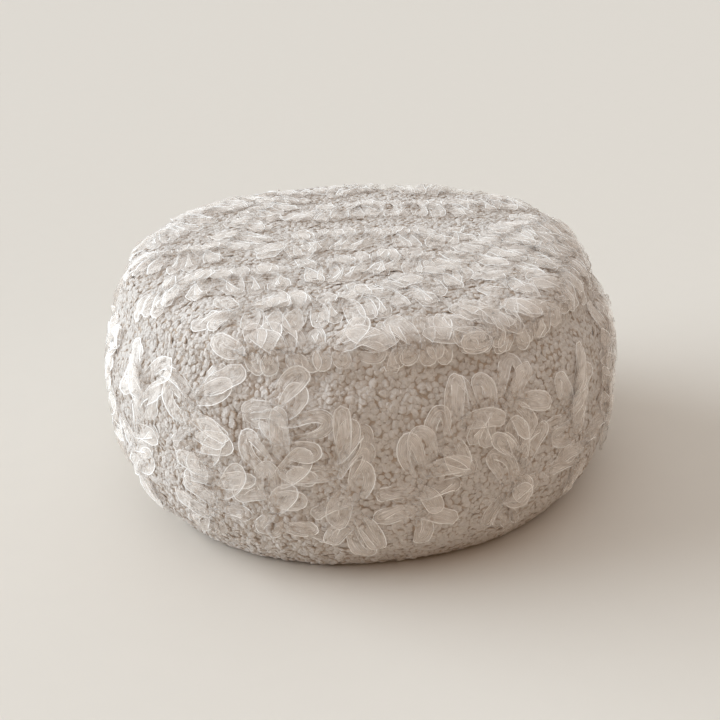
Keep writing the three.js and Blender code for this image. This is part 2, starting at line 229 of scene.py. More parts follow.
class RibbonSettings(bpy.types.PropertyGroup):
    """Sizes and colours of the gathered ribbon."""

    width: FloatProperty(
        name="Width", description="Width of the ribbon", default=.0105, unit="LENGTH")
    step: FloatProperty(
        name="Step", description="How much stitch line a loop takes", default=.0059, unit="LENGTH")
    reach: FloatProperty(
        name="Reach", description="How far a loop stands out from its line", default=.034, unit="LENGTH")
    spread: FloatProperty(
        name="Spread", description="How wide a loop is", default=.0195, unit="LENGTH")
    lift: FloatProperty(
        name="Lift", description="Least height over the skin", default=.0020, unit="LENGTH")
    top_size: FloatProperty(
        name="Top size", description="Size of the loops of the top against those of the side",
        default=.82, subtype="FACTOR")
    top_slant: FloatProperty(
        name="Top slant", description="Slope of the loops of the top against those of the side",
        default=.5, subtype="FACTOR")
    stand_top: FloatProperty(
        name="Top stand", description="How high the loops of the top stand at their tips",
        default=.0008, unit="LENGTH")
    stand_side: FloatProperty(
        name="Side stand", description="How high the loops of the side stand at their tips",
        default=.0012, unit="LENGTH")
    stray: FloatProperty(
        name="Stray", description="How far a loop turns from square to its line",
        default=math.radians(27), subtype="ANGLE")
    crowding: FloatProperty(
        name="Crowding", description="How much closer the loops are at the ends of a line",
        default=.3, subtype="FACTOR")
    feather: FloatProperty(
        name="Feather", description="How far the side's loops turn up along their line",
        default=math.radians(24), subtype="ANGLE")
    fan: FloatProperty(
        name="Fan", description="How far the last loops of a line turn past its end",
        default=math.radians(72), subtype="ANGLE")
    mounds: FloatProperty(
        name="Mounds", description="Share of the loops that slope down to their outer edge",
        default=.3, subtype="FACTOR")
    softness: FloatProperty(
        name="Softness", description="How much a sheer loop takes the light as the cloth under it",
        default=.85, subtype="FACTOR")
    shingle: FloatProperty(
        name="Shingle", description="How much each loop leans over the next", default=.05)
    web: FloatVectorProperty(
        name="Web", description="Colour of the sheer web", default=(1.0, .92, .85), subtype="COLOR")
    edge: FloatVectorProperty(
        name="Edge", description="Colour of the woven edge", default=(1.0, .965, .93), subtype="COLOR")
    cover: FloatProperty(
        name="Cover", description="How much the web hides", default=.29, subtype="FACTOR")


class StageSettings(bpy.types.PropertyGroup):
    """The camera, the light and the floor."""

    distance: FloatProperty(
        name="Distance", description="From the camera to what it looks at", default=1.1, unit="LENGTH")
    elevation: FloatProperty(
        name="Elevation", description="How far the camera stands over the horizon",
        default=math.radians(24.124), subtype="ANGLE")
    roll: FloatProperty(
        name="Roll", description="How far the camera leans", default=math.radians(-2.18),
        subtype="ANGLE")
    aim: FloatProperty(
        name="Aim", description="Height of what the camera looks at", default=.09865, unit="LENGTH")
    lens: FloatProperty(
        name="Lens", description="Focal length in millimetres", default=63.09)
    floor_colour: FloatVectorProperty(
        name="Floor", description="Colour of the floor", default=(.70, .64, .572), subtype="COLOR")
    window: FloatProperty(
        name="Window", description="Strength of the light from the left", default=5.7)
    overhead: FloatProperty(
        name="Overhead", description="Strength of the light from above", default=1.62)
    fill: FloatProperty(
        name="Fill", description="Strength of the warm light from the front", default=.28)
    sky: FloatProperty(
        name="Sky", description="Strength of the light from all round", default=.18)


class Value:
    """A socket of a tree's nodes that can be used in sums."""

    def __init__(self, nodes, socket):
        self.nodes = nodes
        self.socket = socket

    def math(self, operation, *values):
        inputs = dict(enumerate(values))
        return self.nodes.add("ShaderNodeMath", {"operation": operation}, inputs)["Value"]

    def __add__(self, other):
        return self.math("ADD", self, other)

    def __radd__(self, other):
        return self.math("ADD", other, self)

    def __sub__(self, other):
        return self.math("SUBTRACT", self, other)

    def __rsub__(self, other):
        return self.math("SUBTRACT", other, self)

    def __mul__(self, other):
        return self.math("MULTIPLY", self, other)

    def __rmul__(self, other):
        return self.math("MULTIPLY", other, self)

    def absolute(self):
        return self.math("ABSOLUTE", self)

    def between(self, low, high):
        """0 below low, 1 above high, and smooth in between."""
        settings = {"interpolation_type": "SMOOTHSTEP"}
        inputs = {"Value": self, "From Min": low, "From Max": high, "To Min": 0.0, "To Max": 1.0}
        return self.nodes.add("ShaderNodeMapRange", settings, inputs)["Result"]

    def within(self, low, high):
        """Low where this is 0, high where it is 1, and even in between."""
        return self * (high - low) + low


class Made:
    """A node whose outputs are read by name as values."""

    def __init__(self, nodes, node):
        self.nodes = nodes
        self.node = node

    def __getitem__(self, name):
        found = [s for s in self.node.outputs if s.name == name and s.enabled]
        return Value(self.nodes, found[0])


class Nodes:
    """The nodes of a tree, each made from its type, its settings and the values of its sockets."""

    def __init__(self, tree):
        self.tree = tree

    def add(self, kind, settings=None, inputs=None):
        node = self.tree.nodes.new(kind)
        for key, value in (settings or {}).items():
            setattr(node, key, value)
        for key, value in (inputs or {}).items():
            socket = self.input_of(node, key)
            if isinstance(value, Value):
                self.tree.links.new(value.socket, socket)
            else:
                socket.default_value = value
        return Made(self, node)

    @staticmethod
    def input_of(node, key):
        if isinstance(key, int):
            return node.inputs[key]
        return [s for s in node.inputs if s.name == key and s.enabled][0]


class MaterialNodes(Nodes):
    """A material's nodes, with the patterns that this cushion's surfaces are made of."""

    def __init__(self, name):
        self.material = bpy.data.materials.new(name)
        self.material.use_nodes = True
        super().__init__(self.material.node_tree)
        self.tree.nodes.clear()

    def mix(self, factor, first, second):
        """One colour blended into another."""
        inputs = {"Factor": factor, "A": first, "B": second}
        return self.add("ShaderNodeMix", {"data_type": "RGBA"}, inputs)["Result"]

    def tint(self, colour, amount):
        """A colour made lighter or darker by a value."""
        channels = {"Red": amount, "Green": amount, "Blue": amount}
        grey = self.add("ShaderNodeCombineColor", {}, channels)["Color"]
        inputs = {"Factor": 1.0, "A": colour, "B": grey}
        return self.add("ShaderNodeMix", {"data_type": "RGBA", "blend_type": "MULTIPLY"}, inputs)["Result"]

    def place(self):
        return self.add("ShaderNodeTexCoord")["Object"]

    def noise(self, scale, detail=2.0, rough=0.5, vector=None):
        inputs = {"Vector": vector or self.place(), "Scale": scale, "Detail": detail, "Roughness": rough}
        return self.add("ShaderNodeTexNoise", {}, inputs)["Fac"]

    def cells(self, scale, vector=None):
        inputs = {"Vector": vector or self.place(), "Scale": scale}
        return self.add("ShaderNodeTexVoronoi", {"feature": "F1"}, inputs)["Distance"]

    def wandering(self, scale, distance):
        """The place on the piece, led astray by up to a distance so that a pattern on it isn't even."""
        inputs = {"Vector": self.place(), "Scale": scale, "Detail": 2.0}
        wander = self.add("ShaderNodeTexNoise", {}, inputs)["Color"]
        terms = {0: wander, 1: (distance, distance, distance), 2: self.place()}
        return self.add("ShaderNodeVectorMath", {"operation": "MULTIPLY_ADD"}, terms)["Vector"]

    def attribute(self, name):
        return self.add("ShaderNodeAttribute", {"attribute_name": name})["Fac"]

    def relief(self, height):
        """Fine relief from a height in metres."""
        inputs = {"Height": height, "Distance": 1.0, "Strength": 1.0}
        return self.add("ShaderNodeBump", {}, inputs)["Normal"]

    def finish(self, inputs):
        """The surface itself: a principled shader straight into the output."""
        shader = self.add("ShaderNodeBsdfPrincipled", {}, inputs)["BSDF"]
        self.add("ShaderNodeOutputMaterial", {}, {"Surface": shader})
        return self.material


def rgba(colour):
    return (*colour, 1.0)


def skin_material(curls):
    """The fleece's ground between and under the curls, with the pressed pile of the base and painted shade
    between its lumps.
    """
    ground = MaterialNodes("fleece_ground")
    lump = 1.0 - ground.cells(165.0, vector=ground.wandering(260.0, .003))
    # Painted shade: the ground goes to the crevice colour between its lumps.
    crest = lump.between(.30, .85)
    fuzz = ground.noise(1500.0, detail=3.0, rough=.6)
    shade = ground.noise(22.0).within(.90, 1.06)
    return ground.finish({
        "Base Color": ground.tint(ground.mix(crest, rgba(curls.crevice_shade), rgba(curls.crest)), shade),
        "Roughness": fuzz.within(.92, .98),
        "Normal": ground.relief(crest * .0016 + fuzz * .0004),
        "Sheen Weight": .25,
        "Sheen Roughness": .5,
    })


def curl_material(curls):
    """Cream curls with painted shade low down where they meet, fine fibres and a random tone of their own.
    """
    fleece = MaterialNodes("fleece_curls")
    # Painted shade: each curl goes from the crest colour to the crevice colour low on its dome.
    crown = fleece.attribute("crown").between(.24, .68)
    own = fleece.attribute("shade")
    fibre = fleece.noise(520.0, detail=4.0, rough=.65)
    strands = fleece.cells(420.0)
    patch = fleece.noise(16.0)
    tone = own * .04 + patch * .10 + fibre * .24 + strands * .14 + .76
    return fleece.finish({
        "Base Color": fleece.tint(fleece.mix(crown, rgba(curls.crevice_shade), rgba(curls.crest)), tone),
        "Roughness": fibre.within(.90, .98),
        "Normal": fleece.relief(fibre * .0011 + strands * .0009),
        "Sheen Weight": .3,
        "Sheen Roughness": .5,
    })


def ribbon_material(ribbon):
    """Sheer ribbon: a milky web with fine folds in it, and a closer woven edge on both sides."""
    sheer = MaterialNodes("sheer_ribbon")
    uv = sheer.add("ShaderNodeUVMap", {"uv_map": "ribbon"})["UV"]
    parts = sheer.add("ShaderNodeSeparateXYZ", {}, {"Vector": uv})

    def drawn_out(across, along, detail):
        """Noise that is stretched along the ribbon."""
        inputs = {"X": parts["X"] * across, "Y": parts["Y"] * along}
        spot = sheer.add("ShaderNodeCombineXYZ", {}, inputs)["Vector"]
        return sheer.noise(1.0, detail=detail, vector=spot)

    from_middle = (parts["X"] - .5).absolute() * 2.0
    # The woven edge shows only in patches along the ribbon.
    edge_patches = sheer.noise(55.0, detail=1.0).between(.20, .46)
    selvage = from_middle.between(.82, .91) * edge_patches
    fold_line = 1.0 - (drawn_out(5.0, 22.0, 1.0) - .5).absolute().between(.0, .035)
    edge = selvage + fold_line * (1.0 - selvage) * .36
    streak = drawn_out(14.0, 40.0, 3.0)
    shade = streak.within(.93, 1.07)
    web = streak.within(ribbon.cover - .18, ribbon.cover + .18)
    opened = sheer.attribute("open").between(.0, .55).within(.35, 1.0)
    return sheer.finish({
        "Base Color": sheer.tint(sheer.mix(edge, rgba(ribbon.web), rgba(ribbon.edge)), shade),
        "Roughness": streak.within(.68, .78),
        "Alpha": (web * (1.0 - edge) + edge * .92) * opened,
        "Normal": sheer.relief(streak * .00008 + selvage * .00012),
        "Specular IOR Level": .2,
        "Sheen Weight": .15,
        "Sheen Roughness": .4,
    })


def floor_material(stage):
    """A pale matt floor with hardly any grain."""
    floor = MaterialNodes("pale_floor")
    grain = floor.noise(40.0)
    return floor.finish({
        "Base Color": floor.tint(rgba(stage.floor_colour), grain.within(.99, 1.01)),
        "Roughness": grain.within(.75, .80),
    })


def new_mesh(name, shape):
    """A mesh from a bmesh, which is freed."""
    mesh = bpy.data.meshes.new(name)
    shape.to_mesh(mesh)
    shape.free()
    return mesh


def link(name, mesh):
    piece = bpy.data.objects.new(name, mesh)
    bpy.context.scene.collection.objects.link(piece)
    return piece


def shade_smooth(mesh):
    for face in mesh.polygons:
        face.use_smooth = True


def finished(piece, material):
    """Gives a piece its one material and its body."""
    piece.data.materials.clear()
    piece.data.materials.append(material)
    shade_smooth(piece.data)
    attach(piece, "root")


def apply_modifiers(piece):
    """Puts what the modifiers make into the piece's own mesh."""
    graph = bpy.context.evaluated_depsgraph_get()
    mesh = bpy.data.meshes.new_from_object(piece.evaluated_get(graph))
    piece.modifiers.clear()
    piece.data = mesh


def cut_from_node(inset):
    """The body's cloth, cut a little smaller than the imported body, with its base left on the floor."""
    shape = bmesh.new()
    shape.from_mesh(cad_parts[BODY_NODE].data)
    bmesh.ops.remove_doubles(shape, verts=shape.verts, dist=1e-5)
    bmesh.ops.recalc_face_normals(shape, faces=shape.faces)
    shape.normal_update()
    moves = [vert.normal * inset for vert in shape.verts]
    for vert, move in zip(shape.verts, moves):
        vert.co = vert.co - move
        if vert.co.z < inset * 1.5:
            vert.co.z = max(0.0, vert.co.z - inset)
    return new_mesh("filled_cushion", shape)


def swell(piece, filling):
    """Fills the cloth by simulation, with its base held and each point's way limited."""
    scene = bpy.context.scene
    start = [vert.co.copy() for vert in piece.data.vertices]
    held = piece.vertex_groups.new(name="held")
    held.add([i for i, co in enumerate(start) if co.z < HELD_BELOW], 1.0, "REPLACE")
    cloth = piece.modifiers.new("filling", "CLOTH")
    cloth.settings.quality = CLOTH_QUALITY
    cloth.settings.use_pressure = True
    cloth.settings.uniform_pressure_force = filling.pressure
    cloth.settings.vertex_group_mass = "held"
    cloth.settings.effector_weights.gravity = 0
    cloth.point_cache.frame_start = 1
    cloth.point_cache.frame_end = filling.frames
    for number in range(1, filling.frames + 1):
        scene.frame_set(number)
    apply_modifiers(piece)
    scene.frame_set(1)
    piece.vertex_groups.clear()
    for vert, before in zip(piece.data.vertices, start):
        way = vert.co - before
        if way.length > filling.swell:
            vert.co = before + way * (filling.swell / way.length)
        vert.co.z = max(0.0, vert.co.z)


def leaned(angle, out, height):
    """A point by its bearing, its distance from the axis and its height, with the top's small shift."""
    share = height / EDGE_HEIGHT - .5
    return Vector((out * math.cos(angle), out * math.sin(angle), height)) + TOP_SHIFT * share


def across_axis(point):
    """How far a point is from the leaning axis, and its height, as one flat point."""
    share = point.z / EDGE_HEIGHT - .5
    upright = point - TOP_SHIFT * share
    return Vector((math.hypot(upright.x, upright.y), point.z))


def draw_in_seams(mesh, filling, body_tree):
    """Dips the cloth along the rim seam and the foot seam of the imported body."""
    seams = ((RIM_SEAM, filling.rim_depth), (FOOT_SEAM, filling.foot_depth))
    mesh.update()
    normals = [vert.normal.copy() for vert in mesh.vertices]
    for vert, normal in zip(mesh.vertices, normals):
        flat = across_axis(vert.co)
        angle = math.atan2(vert.co.y, vert.co.x)
        for place, depth in seams:
            line = body_tree.find_nearest(leaned(angle, place.x, place.y))[0]
            away = (flat - across_axis(line)).length / filling.seam_width
            vert.co -= normal * depth * math.exp(-away * away)
        vert.co.z = max(0.0, vert.co.z)


def tree_of(mesh):
    """A search tree over a mesh's faces."""
    return BVHTree.FromPolygons([v.co for v in mesh.vertices], [tuple(p.vertices) for p in mesh.polygons])


def make_filled_cushion(filling, curls):
    """The filled body: one closed skin of fleece ground with its crown, drawn-in sides and seams."""
    piece = link("filled_cushion", cut_from_node(filling.inset))
    remesh = piece.modifiers.new("even", "REMESH")
    remesh.mode = "VOXEL"
    remesh.voxel_size = filling.voxel
    apply_modifiers(piece)
    swell(piece, filling)
    draw_in_seams(piece.data, filling, tree_of(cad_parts[BODY_NODE].data))
    smooth = piece.modifiers.new("smooth", "SUBSURF")
    smooth.levels = smooth.render_levels = 1
    apply_modifiers(piece)
    finished(piece, skin_material(curls))
    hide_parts(BODY_NODE)


def curl_shape(number):
    """One curl: a low uneven dome, open below, where it sits in the pile."""
    shape = bmesh.new()
    bmesh.ops.create_uvsphere(shape, u_segments=8, v_segments=6, radius=1.0)
    hidden = [face for face in shape.faces if max(v.co.z for v in face.verts) < CURL_CUT]
    bmesh.ops.delete(shape, geom=hidden, context="FACES")
    # The crown is the height on the dome, which the curls' material turns into painted shade low down.
    crown = shape.verts.layers.float.new("crown")
    own_lumps = Vector((number * LUMPS_APART, 0, 0))
    for vert in shape.verts:
        vert[crown] = max(0.0, vert.co.z)
        vert.co += noise.noise_vector(vert.co * LUMP_SCALE + own_lumps) * LUMP_DEPTH
        vert.co = [at * stretch for at, stretch in zip(vert.co, CURL_STRETCH)]
    mesh = new_mesh(f"curl_{number}", shape)
    shade_smooth(mesh)
    return bpy.data.objects.new(mesh.name, mesh)


def scatter_group(collection, curls, seed):
    """Geometry nodes that stand one curl of the collection at each of many evenly spaced points."""
    group = bpy.data.node_groups.new("scattered_curls", "GeometryNodeTree")
    group.interface.new_socket("Geometry", in_out="INPUT", socket_type="NodeSocketGeometry")
    group.interface.new_socket("Geometry", in_out="OUTPUT", socket_type="NodeSocketGeometry")
    nodes = Nodes(group)

    def drawn(low, high, number, kind="FLOAT"):
        inputs = {"Min": low, "Max": high, "Seed": seed + number}
        return nodes.add("FunctionNodeRandomValue", {"data_type": kind}, inputs)["Value"]

    points = nodes.add("GeometryNodeDistributePointsOnFaces", {"distribute_method": "POISSON"}, {
        "Mesh": nodes.add("NodeGroupInput")["Geometry"],
        "Distance Min": curls.spacing,
        "Density Max": MOST_CURLS_TO_A_SQUARE_METRE,
        "Seed": seed,
    })
    shapes = nodes.add("GeometryNodeCollectionInfo", {"transform_space": "ORIGINAL"}, {
        "Collection": collection,
        "Separate Children": True,
        "Reset Children": True,
    })
    turned = nodes.add("FunctionNodeRotateRotation", {"rotation_space": "LOCAL"}, {
        "Rotation": points["Rotation"],
        "Rotate By": drawn([-turn for turn in CURL_TURN], CURL_TURN, 1, "FLOAT_VECTOR"),
    })
    smallest, largest = CURL_SIZES
    stood = nodes.add("GeometryNodeInstanceOnPoints", {}, {
        "Points": points["Points"],
        "Instance": shapes["Instances"],
        "Pick Instance": True,
        "Rotation": turned["Rotation"],
        "Scale": drawn(curls.radius * smallest, curls.radius * largest, 2),
    })
    shaded = nodes.add("GeometryNodeStoreNamedAttribute", {"data_type": "FLOAT", "domain": "INSTANCE"}, {
        "Geometry": stood["Instances"],
        "Name": "shade",
        "Value": drawn(-1.0, 1.0, 3),
    })
    real = nodes.add("GeometryNodeRealizeInstances", {}, {"Geometry": shaded["Geometry"]})
    nodes.add("NodeGroupOutput", {}, {"Geometry": real["Geometry"]})
    return group


def fleece_panels(parting):
    """Names of the fields of curls, each with a test for the faces of the skin that it covers."""
    def above_seam(place):
        return place.z > RIM_SEAM.y and across_axis(place).x < PLAN_RADIUS

    def covered(place):
        return place.z > NO_CURLS_BELOW and abs(place.z - RIM_SEAM.y) > parting

    def side_test(sector):
        def test(place):
            turn = math.degrees(math.atan2(place.y, place.x)) % 360
            return covered(place) and not above_seam(place) and int(turn // SECTOR_DEGREES) == sector
        return test

    return (
        ("curls_top_front", lambda place: covered(place) and above_seam(place) and place.y < 0),
        ("curls_top_back", lambda place: covered(place) and above_seam(place) and place.y >= 0),
        ("curls_side_back", side_test(0)),
        ("curls_side_left", side_test(1)),
        ("curls_side_right", side_test(2)),
    )


def make_curls(name, skin, keep, curls, collection, material, seed):
    """A field of curls over the part of the skin that keep() chooses."""
    shape = bmesh.new()
    shape.from_mesh(skin.data)
    others = [face for face in shape.faces if not keep(face.calc_center_median())]
    bmesh.ops.delete(shape, geom=others, context="FACES")
    for vert in shape.verts:
        vert.co -= vert.normal * curls.sink
    piece = link(name, new_mesh(name, shape))
    scatter = piece.modifiers.new("curls", "NODES")
    scatter.node_group = scatter_group(collection, curls, seed)
    apply_modifiers(piece)
    for vert in piece.data.vertices:
        vert.co.z = max(CURLS_ABOVE_FLOOR, vert.co.z)
    finished(piece, material)


def on_cloth(tree, point):
    """The nearest place on the cloth to a point, and the outward direction there."""
    place, normal, _, _ = tree.find_nearest(point)
    return place, normal


def laid_flat(way, normal):
    """A direction turned into the cloth."""
    return (way - normal * way.dot(normal)).normalized()


def walk(tree, place, heading, distance):
    """Walks over the cloth from a place, in short steps that each come down on it."""
    steps = max(1, math.ceil(distance / WALK_STEP))
    here, normal = on_cloth(tree, place)
    for _ in range(steps):
        here, normal = on_cloth(tree, here + heading * (distance / steps))
        heading = laid_flat(heading, normal)
    return here, normal, heading


def top_point(row, t):
    """A point of a row of the top, on its Bezier curve."""
    a, b, c, d = (Vector((x, y, EDGE_HEIGHT)) for x, y in row["points"])
    s = 1 - t
    return a * s ** 3 + b * 3 * s * s * t + c * 3 * s * t * t + d * t ** 3


def side_point(row, t):
    """A point of a row of the side, which wanders on its way down or hooks away at its upper end."""
    fall = t if row["hook"] == 0 else t * t
    turn = row["bearing"] + row["hook"] * (1 - t) ** 2 + row["drift"] * math.sin(2 * math.pi * t)
    return leaned(math.radians(turn), PLAN_RADIUS, row["high"] + (row["low"] - row["high"]) * fall)


def stitch_line(tree, row):
    """Points of a stitch line on the cloth, close together."""
    point = top_point if "points" in row else side_point
    return [on_cloth(tree, point(row, i / LINE_PARTS))[0] for i in range(LINE_PARTS + 1)]


def travelled_along(points):
    """How far each point is from the first one, by way of those between."""
    lengths = [0.0]
    for a, b in zip(points, points[1:]):
        lengths.append(lengths[-1] + (b - a).length)
    return lengths


def spaced(line, step, crowding):
    """The line again, in a whole number of steps of about that length, which are shorter near its ends."""
    lengths = travelled_along(line)
    count = max(LEAST_LOOPS, round(lengths[-1] / step))
    points = []
    k = 0
    for i in range(count + 1):
        t = i / count
        wanted = lengths[-1] * (t - crowding * math.sin(2 * math.pi * t) / (2 * math.pi))
        while k + 2 < len(line) and lengths[k + 1] < wanted:
            k += 1
        share = (wanted - lengths[k]) / max(lengths[k + 1] - lengths[k], 1e-9)
        points.append(line[k].lerp(line[k + 1], min(1.0, max(0.0, share))))
    return points


def reach_inside_rim(tree, root, heading, reach):
    """How far a loop of the top can stand out before it would hang over the rim seam."""
    for share in RIM_SHARES:
        if walk(tree, root, heading, reach * share)[0].z > RIM_SEAM.y + RIM_CLEAR:
            return reach * share
    return reach * LEAST_REACH


def panel_of(row, ribbon):
    """What sets the loops of the top apart from those of the side."""
    if "points" in row:
        return Panel(size=ribbon.top_size, stand=ribbon.stand_top, feather=0.0, slant=ribbon.top_slant,
                     rimmed=True)
    return Panel(size=1.0, stand=ribbon.stand_side, feather=ribbon.feather, slant=1.0, rimmed=False)


class Loop:
    """What was drawn for one loop, and the curve that it follows over the cloth from stitch to stitch.

    The curve is laid out in two ways: out, square to the stitch line, and along, with the line. The order
    of the draws sets every loop's shape, so a new one goes at the end.
    """

    def __init__(self, ribbon, panel, side, end, stitch, chance):
        self.side = side
        self.stitch = stitch
        straight = side * panel.feather * (1 - abs(end))
        self.turn = chance.gauss(0, ribbon.stray) + straight - side * end * ribbon.fan
        self.reach = ribbon.reach * panel.size * chance.uniform(*REACH_RANGE)
        self.spread = ribbon.spread * panel.size * chance.uniform(*SPREAD_RANGE)
        self.skew = chance.gauss(0, SKEW_SPREAD)
        self.mound = chance.random() < ribbon.mounds
        slopes = MOUND_SLANT if self.mound else FLAT_SLANT
        self.slant = math.radians(chance.uniform(*slopes)) * panel.slant
        self.lean = (chance.uniform(*LEAN_RANGE) + ribbon.shingle * side) * panel.slant
        self.tip_lift = panel.stand * chance.uniform(*TIP_RANGE)
        self.ruffle = chance.uniform(*RUFFLE_RANGE)
        self.phase = chance.uniform(0, 2 * math.pi)

    def shorten(self, reach):
        """Takes a shorter reach, and narrows the loop a little less."""
        self.spread *= (reach / self.reach) ** RIM_NARROWING
        self.reach = reach

    def fit_to(self, width):
        """Works out the curve of the ribbon's middle from the loop's outer size."""
        self.inner = min(width * .5 * math.cos(self.slant), self.spread * INNER_SHARE)
        self.belly = max(LEAST_BELLY, self.spread / 2 - self.inner - self.stitch * STITCH_SHARE)

    def curve(self, u):
        """The curve's place, its slope and its bend at a share u of its way, each as (out, along)."""
        pi = math.pi
        depth = self.reach - self.inner
        skew = self.skew * self.reach
        half_stitch = self.stitch / 2
        sin, cos = math.sin(pi * u), math.cos(pi * u)
        sin_twice, cos_twice = math.sin(2 * pi * u), math.cos(2 * pi * u)
        along = skew * sin * sin - half_stitch * cos - self.belly * sin_twice
        along_slope = half_stitch * pi * sin - self.belly * 2 * pi * cos_twice + skew * pi * sin_twice
        along_bend = (half_stitch * pi ** 2 * cos + self.belly * 4 * pi ** 2 * sin_twice
                      + skew * 2 * pi ** 2 * cos_twice)
        return (depth * sin, along), (depth * pi * cos, along_slope), (-depth * pi ** 2 * sin, along_bend)


def spine_at(spine, share):
    """The loop's middle line at a share of its reach: the place, the way up and the way on."""
    k = min(SPINE_PARTS - 1, int(share * SPINE_PARTS))
    here, up, ahead = (a.lerp(b, share * SPINE_PARTS - k) for a, b in zip(spine[k], spine[k + 1]))
    return here, up.normalized(), ahead.normalized()


def station_at(tree, spine, loop, ribbon, u):
    """The ribbon's place, tilt and width at a share u of the way round a loop."""
    swing = math.sin(math.pi * u)
    (out, along), (out_slope, along_slope), (out_bend, along_bend) = loop.curve(u)
    here, up, ahead = spine_at(spine, out / loop.reach)
    beside = ahead.cross(up) * loop.side
    place, up = on_cloth(tree, here + beside * along)
    path = (ahead * out_slope + beside * along_slope).normalized()
    bend = abs(out_slope * along_bend - along_slope * out_bend) / math.hypot(out_slope, along_slope) ** 3

    opened = swing ** OPENING
    angle = math.pi / 2 + (loop.slant - math.pi / 2) * opened
    away = path.cross(up) * -loop.side
    across = away * math.cos(angle) + up * math.sin(angle) * (-1 if loop.mound else 1)
    half = ribbon.width / 2 * (ROOT_WIDTH + (1 - ROOT_WIDTH) * swing ** .5)
    lift = ribbon.lift + loop.tip_lift * opened * (1 - TIP_DROOP * swing ** 6) + loop.lean * along * swing
    lift = max(lift, half * math.sin(angle) * EDGE_CLEAR + ribbon.lift * LEAST_LIFT)
    wave = loop.ruffle * math.sin(loop.phase + 2 * math.pi * RUFFLES * u) * swing
    web = path.cross(across)
    lit_as_cloth = ribbon.softness * (.5 + .5 * math.cos(angle))
    return Station(
        middle=place + up * lift,
        across=across,
        web=web,
        half=half,
        inner=min(half, BEND_LIMIT / (bend * max(FLATTEST, math.cos(angle)))),
        wave=up * wave,
        open=swing,
        soft=web.lerp(up * loop.side, lit_as_cloth).normalized(),
    )


def loop_stations(tree, a, b, side, end, ribbon, panel, chance):
    """The stations of one loop, from one stitch to the next.

    end is -1 at the start of the line, 1 at its end and 0 between, where the loops stand square to it.
    """
    root, normal = on_cloth(tree, (a + b) / 2)
    loop = Loop(ribbon, panel, side, end, (b - a).length, chance)
    outward = normal.cross(laid_flat(b - a, normal)) * side
    heading = Quaternion(normal, loop.turn) @ outward
    if panel.rimmed:
        loop.shorten(reach_inside_rim(tree, root, heading, loop.reach))
    loop.fit_to(ribbon.width)
    spine = [walk(tree, root, heading, loop.reach * k / SPINE_PARTS) for k in range(SPINE_PARTS + 1)]
    return [station_at(tree, spine, loop, ribbon, i / LOOP_STEPS) for i in range(LOOP_STEPS)]


def end_of_line(k, count):
    """How far the k-th loop is past a line's straight part: -1 to 0 at the start, 0 to 1 at the end."""
    start = max(0.0, 1 - k / END_LOOPS)
    finish = max(0.0, 1 - (count - 1 - k) / END_LOOPS)
    return finish - start


def row_stations(tree, row, ribbon, chance):
    """The stations of a whole row, loop after loop, to one side and the other in turn."""
    panel = panel_of(row, ribbon)
    stitches = spaced(stitch_line(tree, row), ribbon.step * panel.size, ribbon.crowding)
    count = len(stitches) - 1
    stations = []
    for k, (a, b) in enumerate(zip(stitches, stitches[1:])):
        side = 1 if k % 2 == 0 else -1
        stations += loop_stations(tree, a, b, side, end_of_line(k, count), ribbon, panel, chance)
    return stations


def ribbon_mesh(name, stations, travelled):
    """The ribbon as a grid of faces along its stations, and the station of each of its points."""
    shape = bmesh.new()
    shape.loops.layers.uv.new("ribbon")
    opening = shape.verts.layers.float.new("open")
    along = len(stations) - 1
    over = len(ACROSS) - 1
    bmesh.ops.create_grid(shape, x_segments=along, y_segments=over, size=.5, calc_uvs=True)
    shape.verts.index_update()
    uv = shape.loops.layers.uv.active
    where = [(round((vert.co.x + .5) * along), round((vert.co.y + .5) * over)) for vert in shape.verts]
    for vert, (i, j) in zip(shape.verts, where):
        station = stations[i]
        share = ACROSS[j]
        vert[opening] = station.open
        half = station.half if share > 0 else station.inner
        cup = station.web * (1 - share * share) * CUP
        ruffled = station.wave * max(0.0, share) ** 2
        vert.co = station.middle + station.across * (half * share) + cup + ruffled
    for face in shape.faces:
        for corner in face.loops:
            i, j = where[corner.vert.index]
            corner[uv].uv = ((ACROSS[j] + 1) / 2, travelled[i])
    shape.normal_update()
    facing = sum(face.normal.dot(stations[where[face.verts[0].index][0]].web) for face in shape.faces)
    if facing < 0:
        bmesh.ops.reverse_faces(shape, faces=shape.faces)
    return new_mesh(name, shape), [i for i, _ in where]


def make_ribbon(tree, row, number, ribbon, material):
    """One row: a single ribbon that is sewn down at every step and stands in loops on both sides."""
    stations = row_stations(tree, row, ribbon, random.Random(ROW_SEED + number))
    travelled = travelled_along([station.middle for station in stations])
    name = "ribbon_" + row["node"]
    mesh, station_numbers = ribbon_mesh(name, stations, travelled)
    piece = link(name, mesh)
    finished(piece, material)
    mesh.normals_split_custom_set_from_vertices([stations[i].soft for i in station_numbers])
    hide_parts(row["node"])


def make_camera(scene, stage):
    """The camera, at the photo's height and angle."""
    camera = bpy.data.objects.new("camera", bpy.data.cameras.new("camera"))
    scene.collection.objects.link(camera)
    camera.data.lens = stage.lens
    camera.data.shift_x, camera.data.shift_y = LENS_SHIFT
    back = Vector((0, -math.cos(stage.elevation), math.sin(stage.elevation))) * stage.distance
    tip = Matrix.Rotation(math.pi / 2 - stage.elevation, 4, "X")
    roll = Matrix.Rotation(stage.roll, 4, "Z")
    camera.matrix_world = Matrix.Translation(Vector((0, 0, stage.aim)) + back) @ tip @ roll
    scene.camera = camera


def make_floor(stage):
    """A plain pale floor, which is stage and no part of the cushion."""
    shape = bmesh.new()
    bmesh.ops.create_circle(shape, cap_ends=True, segments=96, radius=FLOOR_RADIUS)
    floor = link("floor", new_mesh("floor", shape))
    floor.data.materials.append(floor_material(stage))


